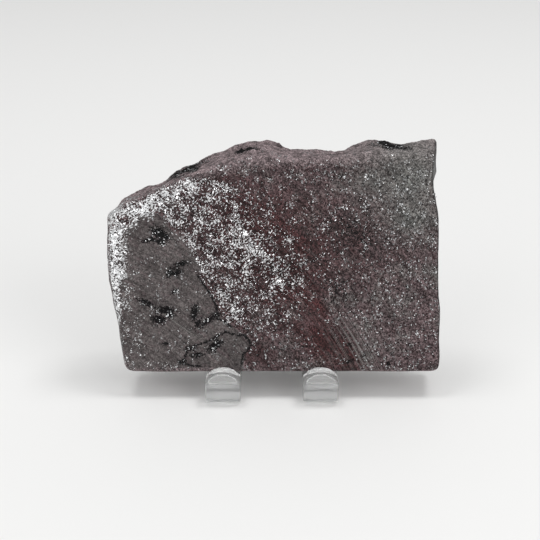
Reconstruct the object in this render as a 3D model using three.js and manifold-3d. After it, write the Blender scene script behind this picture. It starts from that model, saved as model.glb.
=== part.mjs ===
// A sawn slab of specular hematite standing on a clear acrylic easel.
// Millimetres, +Z up, the sawn face towards -Y.
// The origin is on the table, under the middle of the whole object.
import * as THREE from "three";
import { mergeVertices } from "three/addons/utils/BufferGeometryUtils.js";
import Module from "manifold-3d";

const wasm = await Module();
wasm.setup();

// Driving dimensions of the slab
const SLAB_THICKNESS = 13;
const SLAB_LEAN_DEG = 12;
const SAWN_EDGE = 1.1;
const SAWN_EDGE_DEPTH = 1.3;
const BACK_CHAMFER = 0.7;
const RIM_DEPTH = { top: 2.4, left: 4.6, right: 0.9 };
const ROUGHNESS = { sawn: 0.08, right: 0.3, left: 0.45, top: 0.9 };
const ROLL_ROUGH_SHARE = 0.7;
const TOP_EDGE_SHARE = 0.4;
const LEFT_BACK_SLOPE = 1.4;
const RIGHT_FACE_INSET = 0.7;

// Driving dimensions of the easel, one strip of acrylic sheet bent at three corners
const SHEET = 4.7;
const ARM_WIDTH = 9.6;
const ARM_SPACING = 26.8;
const LIP_HEIGHT = 9.8;
const LIP_TIP_RADIUS = 5.6;
const LIP_SHOULDER_RADIUS = 1.2;
const LIP_TO_SLAB = 0.35;
const EASEL_TO_LEFT = 0.45;
const BACK_REST_HEIGHT = 52;
const LEG_ANGLE_DEG = 20;
const SLOT_TOP = 21;
const BEND = {
  lip: { outer: 3, inner: 1.2 },
  rest: { outer: 5.5, inner: 2 },
  top: { outer: 5.2, inner: 0.9 },
};

// Clearance between slab and easel, and how finely curves are divided
const FIT_GAP = 0.3;
const ROLL_STEPS = 4;
const WALL_STEPS = 6;
const STEPS_PER_STATION = 4;
const BEND_STEPS = 8;
const TIP_STEPS = 18;
const FACE_PIT_DETAIL = 1;
const TOP_HOLLOW_DETAIL = 2;
const WELD_DISTANCE = 1e-4;

const SLAB_LEAN = THREE.MathUtils.degToRad(SLAB_LEAN_DEG);
const LEG_ANGLE = THREE.MathUtils.degToRad(LEG_ANGLE_DEG);
const { lerp, smoothstep } = THREE.MathUtils;

// The slab's own frame: u to the right, v up the face, w from the face to the back.
// Each side of the slab is a row of places along its edge, in order round the outline.

// Sawn bottom: where along u the straight edge is held.
const BOTTOM = [-35, -20, -5, 10, 25, 39];

// Three corners: place on the face, on the rim and on the back.
const RIGHT_CORNER = { face: [44, 1.7], rim: [45.1, 0.5], back: [45.1, 0.5], depth: 1.2 };
const LEFT_CORNER = { face: [-39.2, 1.9], rim: [-40.5, 0.6], back: [-40, 0.4], depth: 1.8 };
const TOP_CORNER = { face: [41.7, 60.3], rim: [42.6, 61.2], back: [44.3, 63], depth: 1.8 };

// Sawn right side: height v, how far out u the rim stands and how much farther out the back does,
// which juts out above one broken nick near the top.
const RIGHT = [
  [3, 45.7, 0.2], [9, 45.4, 0.2], [16.5, 45.5, 0.2], [23, 44.9, 0.2], [30, 44.5, 0.2], [38, 44.5, 0.2],
  [44, 44.1, 0.2], [48, 43.4, 0.2], [51.2, 42.7, 0.6], [53.6, 42.5, 2.4], [56.2, 42.6, 2.2], [58.8, 42.7, 2],
];

// Broken top, right to left: u, height of the face's edge, height of the back edge.
const TOP = [
  [39.6, 60.5, 62.4], [37.6, 60.2, 62], [34.5, 60.1, 61.8], [31, 60, 62.2],
  [28, 59.7, 62.9], [24.6, 59.4, 62.2], [21.3, 59.1, 60.8], [18, 58.9, 59.8], [13, 58.7, 59.7],
  [8, 58.6, 60.5], [3.6, 58.6, 60.9], [1.6, 58.6, 61.4], [-0.6, 58.5, 62.3], [-3.6, 58.4, 62.7],
  [-6.6, 58.1, 62.5], [-9.8, 57.4, 61.6], [-14.6, 56.3, 59.5], [-21, 54.6, 56.7], [-24.5, 53.4, 55.3],
  [-28, 51.9, 53.1], [-31, 50.6, 51], [-34.6, 49.1, 49.8], [-38, 47.4, 48.6], [-41.2, 45.3, 46.6],
];

// Rounded natural left side, top to bottom: height v, u of the face's edge, u of the outermost rim.
const LEFT = [
  [43.4, -41.3, -44.7], [41, -41.5, -45], [36.5, -41.7, -45.3], [29.3, -41.8, -45.3],
  [21, -41.7, -44.4], [12.6, -41.1, -43], [6.5, -40.3, -42],
];

// Pits in the sawn face: centre u and v, half length, half width, depth, turn in degrees.
const FACE_PITS = [
  { at: [-31, 39], half: [2.3, 1.4], depth: 0.9, turn: -25 },
  { at: [-34, 37.2], half: [1.9, 0.7], depth: 0.6, turn: 5 },
  { at: [-26, 29.2], half: [2.7, 1.6], depth: 0.9, turn: 30 },
  { at: [-34.4, 19.8], half: [2.5, 0.7], depth: 0.6, turn: -27 },
  { at: [-31.3, 15], half: [1.8, 1.2], depth: 0.9, turn: 0 },
  { at: [-29.4, 17.7], half: [2.4, 0.9], depth: 0.7, turn: 0 },
  { at: [-21.5, 16.9], half: [2, 0.9], depth: 0.7, turn: 80 },
  { at: [-17.9, 14.7], half: [2.7, 0.8], depth: 0.7, turn: 35 },
  { at: [-16.4, 7.2], half: [1.7, 1.2], depth: 0.7, turn: 40 },
  { at: [-20.9, 5], half: [1.5, 0.7], depth: 0.6, turn: 5 },
  { at: [20.9, 7.9], half: [0.9, 0.8], depth: 0.5, turn: 0 },
  { at: [21, 3.2], half: [1.4, 0.7], depth: 0.5, turn: 25 },
  { at: [31.7, 2.5], half: [1.1, 0.7], depth: 0.5, turn: 60 },
];

// Hollows broken out of the top: centre u, v, w, half sizes along u, v, w, turn in degrees.
const TOP_HOLLOWS = [
  { at: [-22.8, 57.6, 7.6], half: [6.4, 2.3, 3.6], turn: 27 },
  { at: [-8.6, 61.8, 6.4], half: [3.4, 1.5, 0.9], turn: 14 },
  { at: [32.6, 62.7, 7.4], half: [4.4, 1.8, 2.2], turn: 0 },
  { at: [6, 61.2, 10.4], half: [5.2, 1.4, 2.6], turn: 0 },
  { at: [-36.5, 49.8, 9.5], half: [4.2, 1.5, 3], turn: 25 },
];

// Two sizes of relief on a broken surface: lumps, and smaller chips on them.
const RELIEF = [
  { height: 0.7, across: 4.3, deep: 3.1, shift: 0 },
  { height: 0.45, across: 1.7, deep: 1.3, shift: 9 },
];

// Smooth repeatable noise between -1 and 1, from hashed corners of a unit lattice.
const HASH = { i: 127.1, j: 311.7, k: 74.7, gain: 43758.5453 };

function latticeValue(i, j, k) {
  const wave = Math.sin(i * HASH.i + j * HASH.j + k * HASH.k) * HASH.gain;
  return 2 * (wave - Math.floor(wave)) - 1;
}

function noise(x, y, z) {
  const cell = [x, y, z].map(Math.floor);
  const ease = [x, y, z].map((value, axis) => smoothstep(value - cell[axis], 0, 1));
  let sum = 0;
  for (let corner = 0; corner < 8; corner += 1) {
    const step = [corner & 1, (corner >> 1) & 1, (corner >> 2) & 1];
    const weight = step.reduce((share, on, axis) => share * (on ? ease[axis] : 1 - ease[axis]), 1);
    sum += weight * latticeValue(cell[0] + step[0], cell[1] + step[1], cell[2] + step[2]);
  }
  return sum;
}

function brokenSurface(u, v, w) {
  return RELIEF.reduce(
    (sum, { height, across, deep, shift }) => sum + height * noise(u / across + shift, v / across, w / deep),
    0,
  );
}

// The places round the slab, counter-clockwise as seen from the front.
function slabStations() {
  const bottom = BOTTOM.map((u) => ({
    face: [u, SAWN_EDGE],
    rim: [u, 0],
    back: [u, 0],
    depth: SAWN_EDGE_DEPTH,
    rough: ROUGHNESS.sawn,
  }));
  const right = RIGHT.map(([v, u, flare]) => ({
    face: [u - RIGHT_FACE_INSET, v],
    rim: [u, v],
    back: [u + flare, v],
    depth: RIM_DEPTH.right,
    rough: ROUGHNESS.right,
  }));
  const top = TOP.map(([u, faceV, backV]) => ({
    face: [u, faceV],
    rim: [u, lerp(faceV, backV, TOP_EDGE_SHARE)],
    back: [u, backV],
    depth: RIM_DEPTH.top,
    rough: ROUGHNESS.top,
  }));
  const left = LEFT.map(([v, faceU, rimU]) => ({
    face: [faceU, v],
    rim: [rimU, v],
    back: [rimU + LEFT_BACK_SLOPE, v],
    depth: RIM_DEPTH.left,
    rough: ROUGHNESS.left,
  }));
  const rightCorner = { ...RIGHT_CORNER, rough: ROUGHNESS.sawn };
  const leftCorner = { ...LEFT_CORNER, rough: ROUGHNESS.sawn };
  const topCorner = { ...TOP_CORNER, rough: ROUGHNESS.right };
  return [...bottom, rightCorner, ...right, topCorner, ...top, ...left, leftCorner];
}

// A closed smooth curve through one outline, with the depth or the roughness as its third value.
function outlineCurve(stations, pick) {
  const points = stations.map((station) => new THREE.Vector3(...pick(station)));
  return new THREE.CatmullRomCurve3(points, true, "centripetal");
}

// The slab's surface as rings from the sawn face, over the edge and down the wall, to the back.
function slabRings() {
  const stations = slabStations();
  const count = stations.length * STEPS_PER_STATION;
  const face = outlineCurve(stations, (s) => [...s.face, 0]);
  const rim = outlineCurve(stations, (s) => [...s.rim, s.depth]);
  const back = outlineCurve(stations, (s) => [...s.back, s.rough]);
  const backDepth = SLAB_THICKNESS - BACK_CHAMFER;
  const rings = Array.from({ length: ROLL_STEPS + WALL_STEPS + 2 }, () => []);
  for (let i = 0; i < count; i += 1) {
    const along = i / count;
    const from = face.getPoint(along);
    const edge = rim.getPoint(along);
    const end = back.getPoint(along);
    const tangent = rim.getTangent(along);
    const outward = new THREE.Vector2(tangent.y, -tangent.x).normalize();
    const place = (ring, u, v, w, roughShare) => {
      const push = end.z * roughShare * brokenSurface(u, v, w);
      rings[ring].push(new THREE.Vector3(u + push * outward.x, w, v + push * outward.y));
    };
    for (let step = 0; step <= ROLL_STEPS; step += 1) {
      const turn = (step / ROLL_STEPS) * (Math.PI / 2);
      const share = Math.sin(turn);
      const u = lerp(from.x, edge.x, share);
      const v = lerp(from.y, edge.y, share);
      place(step, u, v, edge.z * (1 - Math.cos(turn)), ROLL_ROUGH_SHARE * share);
    }
    for (let step = 1; step <= WALL_STEPS; step += 1) {
      const share = step / WALL_STEPS;
      const u = lerp(edge.x, end.x, share);
      const v = lerp(edge.y, end.y, share);
      place(ROLL_STEPS + step, u, v, lerp(edge.z, backDepth, share), 1);
    }
    const last = rings[ROLL_STEPS + WALL_STEPS][i];
    const inU = last.x - BACK_CHAMFER * outward.x;
    const inV = last.z - BACK_CHAMFER * outward.y;
    rings.at(-1).push(new THREE.Vector3(inU, SLAB_THICKNESS, inV));
  }
  return rings;
}

// Rings joined by triangles and closed at each end by a flat fan.
function ringsToGeometry(rings) {
  const count = rings[0].length;
  const triangles = [];
  for (let ring = 0; ring + 1 < rings.length; ring += 1) {
    for (let i = 0; i < count; i += 1) {
      const next = (i + 1) % count;
      const [a, b] = [ring * count + i, ring * count + next];
      const [c, d] = [a + count, b + count];
      triangles.push(a, c, b, b, c, d);
    }
  }
  const middle = (ring) => {
    const sum = ring.reduce((total, point) => total.add(point), new THREE.Vector3());
    return sum.divideScalar(count);
  };
  const points = rings.flat();
  const frontMiddle = points.push(middle(rings[0])) - 1;
  const backMiddle = points.push(middle(rings.at(-1))) - 1;
  const lastStart = (rings.length - 1) * count;
  for (let i = 0; i < count; i += 1) {
    const next = (i + 1) % count;
    triangles.push(frontMiddle, i, next);
    triangles.push(backMiddle, lastStart + next, lastStart + i);
  }
  const geometry = new THREE.BufferGeometry().setFromPoints(points);
  geometry.setIndex(triangles);
  return geometry;
}

// Closed geometry to a solid for joining and cutting, and back.
function toSolid(geometry) {
  const bare = geometry.clone();
  bare.deleteAttribute("normal");
  bare.deleteAttribute("uv");
  const merged = mergeVertices(bare, WELD_DISTANCE);
  return new wasm.Manifold(new wasm.Mesh({
    numProp: 3,
    vertProperties: new Float32Array(merged.attributes.position.array),
    triVerts: new Uint32Array(merged.index.array),
  }));
}

function toGeometry(solid) {
  const mesh = solid.getMesh();
  const geometry = new THREE.BufferGeometry();
  geometry.setAttribute("position", new THREE.BufferAttribute(new Float32Array(mesh.vertProperties), 3));
  geometry.setIndex(new THREE.BufferAttribute(new Uint32Array(mesh.triVerts), 1));
  geometry.computeVertexNormals();
  return geometry;
}

const AXIS_X = new THREE.Vector3(1, 0, 0);
const AXIS_Y = new THREE.Vector3(0, 1, 0);
const AXIS_Z = new THREE.Vector3(0, 0, 1);
const TOWARDS_FRONT = AXIS_Y.clone().negate();

// A faceted lens-shaped cutter at u, v, w, turned in the plane of the face.
function hollowCutter([u, v, w], [halfU, halfV, halfW], turnDeg, detail) {
  const turn = THREE.MathUtils.degToRad(turnDeg);
  const place = new THREE.Matrix4().compose(
    new THREE.Vector3(u, w, v),
    new THREE.Quaternion().setFromAxisAngle(TOWARDS_FRONT, turn),
    new THREE.Vector3(halfU, halfW, halfV),
  );
  return toSolid(new THREE.IcosahedronGeometry(1, detail).applyMatrix4(place));
}

function slabGeometry() {
  let solid = toSolid(ringsToGeometry(slabRings()));
  for (const { at, half, depth, turn } of FACE_PITS) {
    solid = solid.subtract(hollowCutter([...at, 0], [...half, depth], turn, FACE_PIT_DETAIL));
  }
  for (const { at, half, turn } of TOP_HOLLOWS) {
    solid = solid.subtract(hollowCutter(at, half, turn, TOP_HOLLOW_DETAIL));
  }
  return toGeometry(solid);
}

// The easel's side view, as [y, z]: y starts at the front of the lips, and the arms lie on the table.
const REST_SLOPE = Math.tan(SLAB_LEAN);
const LEG_SLOPE = Math.tan(LEG_ANGLE);
const SLAB_FRONT_FOOT = SHEET + LIP_TO_SLAB;
const SLAB_BACK_FOOT = SLAB_FRONT_FOOT + SLAB_THICKNESS * Math.cos(SLAB_LEAN);
const REST_FRONT_FOOT = SLAB_BACK_FOOT + FIT_GAP / Math.cos(SLAB_LEAN) - FIT_GAP * REST_SLOPE;
const REST_FRONT_TOP = REST_FRONT_FOOT + (BACK_REST_HEIGHT - SHEET) * REST_SLOPE;
const SHEET_ACROSS_REST = SHEET / Math.cos(SLAB_LEAN);
const SHEET_ACROSS_LEG = SHEET / Math.cos(LEG_ANGLE);

// The back rest and the leg meet in an outer and an inner ridge.
const RIDGE = [REST_FRONT_TOP, BACK_REST_HEIGHT];
const INNER_RIDGE_DROP = (SHEET_ACROSS_REST + SHEET_ACROSS_LEG) / (REST_SLOPE + LEG_SLOPE);
const INNER_RIDGE = [
  RIDGE[0] - INNER_RIDGE_DROP * REST_SLOPE + SHEET_ACROSS_REST,
  RIDGE[1] - INNER_RIDGE_DROP,
];
const REST_BACK_FOOT = REST_FRONT_FOOT - SHEET * REST_SLOPE + SHEET_ACROSS_REST;
const LEG_BACK_FOOT = RIDGE[0] + BACK_REST_HEIGHT * LEG_SLOPE;
const STRIP_CORNERS = [
  { at: [0, LIP_HEIGHT], radius: 0 },
  { at: [0, 0], radius: BEND.lip.outer },
  { at: [REST_BACK_FOOT, 0], radius: BEND.rest.outer },
  { at: INNER_RIDGE, radius: BEND.top.inner },
  { at: [LEG_BACK_FOOT - SHEET_ACROSS_LEG, 0], radius: 0 },
  { at: [LEG_BACK_FOOT, 0], radius: 0 },
  { at: RIDGE, radius: BEND.top.outer },
  { at: [REST_FRONT_FOOT, SHEET], radius: BEND.rest.inner },
  { at: [SHEET, SHEET], radius: BEND.lip.inner },
  { at: [SHEET, LIP_HEIGHT], radius: 0 },
];

// A closed outline with each corner rounded to an arc of its own radius.
function roundedShape(corners, steps) {
  const points = corners.map(({ at }) => new THREE.Vector2(...at));
  const outline = [];
  corners.forEach(({ radius }, i) => {
    const here = points[i];
    const into = here.clone().sub(points.at(i - 1)).normalize();
    const out = points[(i + 1) % points.length].clone().sub(here).normalize();
    if (radius === 0) {
      outline.push(here);
      return;
    }
    const turn = Math.atan2(into.cross(out), into.dot(out));
    const trim = radius * Math.tan(Math.abs(turn) / 2);
    const side = new THREE.Vector2(-into.y, into.x).multiplyScalar(Math.sign(turn));
    const centre = here.clone().addScaledVector(into, -trim).addScaledVector(side, radius);
    for (let step = 0; step <= steps; step += 1) {
      const spoke = side.clone().multiplyScalar(-radius);
      outline.push(spoke.rotateAround(new THREE.Vector2(), (turn * step) / steps).add(centre));
    }
  });
  return new THREE.Shape(outline);
}

// A flat outline pulled out along its third axis and put in place.
function extruded(shape, depth, matrix) {
  const options = { depth, bevelEnabled: false, curveSegments: TIP_STEPS };
  return toSolid(new THREE.ExtrudeGeometry(shape, options).applyMatrix4(matrix));
}

// A lip and its arm as seen from the front: a tongue whose end is an arc with softened shoulders.
function tongueShape() {
  const half = ARM_WIDTH / 2;
  const shoulder = LIP_SHOULDER_RADIUS;
  const arcCentre = LIP_HEIGHT - LIP_TIP_RADIUS;
  const shoulderAngle = Math.asin((half - shoulder) / (LIP_TIP_RADIUS - shoulder));
  const shoulderRise = arcCentre + (LIP_TIP_RADIUS - shoulder) * Math.cos(shoulderAngle);
  const arcFrom = Math.PI / 2 - shoulderAngle;
  const arcTo = Math.PI - arcFrom;
  const tongue = new THREE.Shape();
  tongue.moveTo(-half, -SHEET);
  tongue.lineTo(half, -SHEET);
  tongue.lineTo(half, shoulderRise);
  tongue.absarc(half - shoulder, shoulderRise, shoulder, 0, arcFrom, false);
  tongue.absarc(0, arcCentre, LIP_TIP_RADIUS, arcFrom, arcTo, false);
  tongue.absarc(shoulder - half, shoulderRise, shoulder, arcTo, Math.PI, false);
  return tongue;
}

// What is cut away round the two lips: a block at the front less the two tongues.
function lipWaste() {
  const reach = 2 * SHEET;
  const block = new THREE.BoxGeometry(2 * ARM_SPACING, reach, 4 * LIP_HEIGHT);
  let waste = toSolid(block.translate(0, 0, LIP_HEIGHT));
  for (const side of [-1, 1]) {
    const place = new THREE.Matrix4().makeBasis(AXIS_X, AXIS_Z, TOWARDS_FRONT);
    place.setPosition((side * ARM_SPACING) / 2, reach, 0);
    waste = waste.subtract(extruded(tongueShape(), 2 * reach, place));
  }
  return waste;
}

// The slot between the arms, which runs up into the back rest under a round head.
function armSlot() {
  const half = (ARM_SPACING - ARM_WIDTH) / 2;
  const slot = new THREE.Shape();
  slot.moveTo(-half, -SHEET);
  slot.lineTo(half, -SHEET);
  slot.lineTo(half, SLOT_TOP - half);
  slot.absarc(0, SLOT_TOP - half, half, 0, Math.PI, false);
  const reach = REST_FRONT_FOOT + SLOT_TOP * REST_SLOPE + SHEET_ACROSS_REST;
  const place = new THREE.Matrix4().makeBasis(AXIS_X, AXIS_Z, TOWARDS_FRONT);
  return extruded(slot, reach, place.setPosition(0, reach, 0));
}

function easelGeometry() {
  const width = ARM_SPACING + ARM_WIDTH;
  const place = new THREE.Matrix4().makeBasis(AXIS_Y, AXIS_Z, AXIS_X).setPosition(-width / 2, 0, 0);
  const strip = extruded(roundedShape(STRIP_CORNERS, BEND_STEPS), width, place);
  return toGeometry(strip.subtract(lipWaste()).subtract(armSlot()));
}

// Finishes
const hematite = new THREE.MeshStandardMaterial({ color: 0x5c4f51, roughness: 0.42, metalness: 0.55 });
const acrylic = new THREE.MeshStandardMaterial({ color: 0xf2f4f3, roughness: 0.05, metalness: 0 });
acrylic.transparent = true;
acrylic.opacity = 0.35;

// Assembly: the slab rests on its lower back edge, between the lips and the back rest.
const slab = new THREE.Mesh(slabGeometry(), hematite);
slab.name = "hematite_slab";
slab.rotation.x = -SLAB_LEAN;
slab.position.set(0, SLAB_FRONT_FOOT, SHEET + FIT_GAP + SLAB_THICKNESS * Math.sin(SLAB_LEAN));

const easel = new THREE.Mesh(easelGeometry(), acrylic);
easel.name = "acrylic_easel";
easel.position.x = -EASEL_TO_LEFT;

const pieces = new THREE.Group();
pieces.add(slab, easel);
const box = new THREE.Box3().setFromObject(pieces, true);
const centre = box.getCenter(new THREE.Vector3());
pieces.position.set(-centre.x, -centre.y, -box.min.z);

const specimen = new THREE.Group();
specimen.add(pieces);

export default specimen;
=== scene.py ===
"""Looks of a sawn slab of specular hematite that leans on a clear acrylic easel."""

import logging
import math
from dataclasses import dataclass
from enum import StrEnum

import bpy
import numpy as np
from mathutils import Matrix, Vector

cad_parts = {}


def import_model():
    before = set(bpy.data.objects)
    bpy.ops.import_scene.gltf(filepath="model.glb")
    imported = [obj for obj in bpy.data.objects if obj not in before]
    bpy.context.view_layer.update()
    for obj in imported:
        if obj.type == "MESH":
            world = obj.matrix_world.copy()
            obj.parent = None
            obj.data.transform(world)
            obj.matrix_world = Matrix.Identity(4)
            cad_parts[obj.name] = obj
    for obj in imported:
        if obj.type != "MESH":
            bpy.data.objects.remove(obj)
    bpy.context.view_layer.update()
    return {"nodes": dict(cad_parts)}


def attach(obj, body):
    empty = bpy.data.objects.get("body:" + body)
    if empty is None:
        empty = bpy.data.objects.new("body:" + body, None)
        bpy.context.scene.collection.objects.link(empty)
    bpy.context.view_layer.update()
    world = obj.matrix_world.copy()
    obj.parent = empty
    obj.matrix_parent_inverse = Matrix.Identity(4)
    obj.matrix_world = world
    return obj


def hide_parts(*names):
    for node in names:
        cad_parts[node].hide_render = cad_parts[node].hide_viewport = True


MM = 0.001
LOG = logging.getLogger("hematite")
JOIN_MM = 0.002
FARTHEST_MM = 1000.0
NOISE_MIDDLE = 0.5

Array = np.ndarray
Socket = bpy.types.NodeSocket
Value = float | Socket
Colour = tuple[float, float, float]
Place = tuple[float, float, float]
Span = tuple[float, float]
Line = tuple[Span, ...]


class Step(StrEnum):
    """How a value runs between two limits."""

    STRAIGHT = "LINEAR"
    SMOOTH = "SMOOTHSTEP"


class Pattern(StrEnum):
    """The patterns that roughen a broken surface."""

    LUMPS = "CLOUDS"
    CHIPS = "VORONOI"


class Mask(StrEnum):
    """The named values that each point of the slab carries for its finish."""

    GREY = "grey"
    SPARKLE = "sparkle"
    RUST = "rust"
    GREEN = "green"
    VUG = "vug"
    DUST = "dust"
    # Painted shade on the right side face, with the stone's own darker tone in the dense band and in
    # patches.
    SHADE = "shade"
    SAW = "saw"
    SCRATCH = "scratch"
    GLINT = "glint"


@dataclass(frozen=True)
class SlabPlace:
    """Where the slab stands. Its own axes are u to the right, w into the stone and v up its face.

    Attributes:
        foot_mm: The middle of the lower front edge, in the part's frame.
        lean_deg: How far the face leans back.
    """

    foot_mm: Place = (-0.296, -18.445, 7.703)
    lean_deg: float = 12.0

    def matrix(self) -> Matrix:
        """Returns the slab's own axes placed in the part's frame, in metres."""
        turn = Matrix.Rotation(-math.radians(self.lean_deg), 4, "X")
        return Matrix.Translation(Vector(self.foot_mm) * MM) @ turn


@dataclass(frozen=True)
class Patch:
    """An oval patch on the face, in mm and degrees, with how strong it is."""

    u: float
    v: float
    long: float
    wide: float
    turn: float = 0.0
    strength: float = 1.0

    def reach(self, u: Array, v: Array) -> Array:
        """Gives how far points are from the middle, as a share of the oval's own size.

        Args:
            u: Places to the right, in mm.
            v: Places up the face, in mm.

        Returns:
            0 at the middle, 1 on the oval's outline and more outside it.
        """
        turn = math.radians(self.turn)
        along = (u - self.u) * math.cos(turn) + (v - self.v) * math.sin(turn)
        across = (v - self.v) * math.cos(turn) - (u - self.u) * math.sin(turn)
        return np.hypot(along / self.long, across / self.wide)

    def glow(self, u: Array, v: Array) -> Array:
        """Gives the patch as a soft blot of its strength.

        Args:
            u: Places to the right, in mm.
            v: Places up the face, in mm.

        Returns:
            The strength at the middle, falling to nothing outside.
        """
        return self.strength * np.exp(-self.reach(u, v) ** 2)


@dataclass(frozen=True)
class Hollow:
    """A black-lined hollow in the broken top, in mm and degrees."""

    u: float
    w: float
    v: float
    long: float
    deep: float
    high: float
    turn: float = 0.0

    def depth(self, u: Array, w: Array, v: Array) -> Array:
        """Gives how far inside the hollow points are.

        Args:
            u: Places to the right, in mm.
            w: Depths behind the face, in mm.
            v: Places up the face, in mm.

        Returns:
            1 at the middle, 0 on the hollow's edge and less outside it.
        """
        flat = Patch(self.u, self.v, self.long, self.high, self.turn).reach(u, v)
        return 1.0 - np.hypot(flat, (w - self.w) / self.deep)


@dataclass(frozen=True)
class Relief:
    """A pattern that pushes the surface in and out, with its lumps' width and height in mm."""

    name: str
    pattern: Pattern
    size: float
    height: float


@dataclass(frozen=True)
class Ramp:
    """How one value follows another: start as far as low, end from high on, and a run between."""

    low: float = 0.0
    high: float = 1.0
    start: Value = 0.0
    end: Value = 1.0


@dataclass(frozen=True)
class Cloud:
    """A cloudy noise: its lumps in a millimetre, its finer layers and how strong those are."""

    per_mm: float
    layers: float
    rough: float = 0.5


@dataclass(frozen=True)
class Grains:
    """A packing of grains: three values of each grain's own, and all three as one direction."""

    shine: Socket
    tone: Socket
    pick: Socket
    lean: Socket


def seam_name(index: int) -> str:
    """Returns the name of the value that holds the distance from a crack."""
    return f"seam_{index}"


def glow_of(patches: tuple[Patch, ...], u: Array, v: Array) -> Array:
    """Adds up the soft blots of several patches.

    Args:
        patches: The patches to add up.
        u: Places to the right, in mm.
        v: Places up the face, in mm.

    Returns:
        The sum of their strengths at each point.
    """
    return sum(patch.glow(u, v) for patch in patches)


def smooth(low: float, high: float, value: Array) -> Array:
    """Eases from 0 at low to 1 at high.

    Args:
        low: Where the result is 0.
        high: Where the result is 1.
        value: The values to ease.

    Returns:
        The eased values.
    """
    share = np.clip((value - low) / (high - low), 0.0, 1.0)
    return share * share * (3.0 - 2.0 * share)


def side_distance(line: Line, u: Array, v: Array) -> Array:
    """Measures how far points lie from a line of straight stretches, and on which side.

    Args:
        line: The line's corners, as (u, v) in mm.
        u: Places to the right, in mm.
        v: Places up the face, in mm.

    Returns:
        The distance of each point, in mm, below 0 on the line's right.
    """
    best = np.full(u.shape, FARTHEST_MM)
    for (u0, v0), (u1, v1) in zip(line, line[1:]):
        du, dv = u1 - u0, v1 - v0
        share = np.clip(((u - u0) * du + (v - v0) * dv) / (du * du + dv * dv), 0.0, 1.0)
        away = np.hypot(u - u0 - share * du, v - v0 - share * dv)
        side = np.where(du * (v - v0) < dv * (u - u0), -away, away)
        best = np.where(away < np.abs(best), side, best)
    return best


def line_distance(line: Line, u: Array, v: Array) -> Array:
    """Measures how far points lie from a line, as side_distance does, on either side."""
    return np.abs(side_distance(line, u, v))


def inside(outline: Line, u: Array, v: Array) -> Array:
    """Tests which points lie inside a closed outline.

    Args:
        outline: The outline's corners, as (u, v) in mm.
        u: Places to the right, in mm.
        v: Places up the face, in mm.

    Returns:
        True for each point inside.
    """
    found = np.zeros(u.shape, bool)
    for (u0, v0), (u1, v1) in zip(outline, outline[1:] + outline[:1]):
        crosses = (v0 > v) != (v1 > v)
        rise = np.where(v1 == v0, 1.0, v1 - v0)
        found ^= crosses & (u < (u1 - u0) * (v - v0) / rise + u0)
    return found


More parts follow.
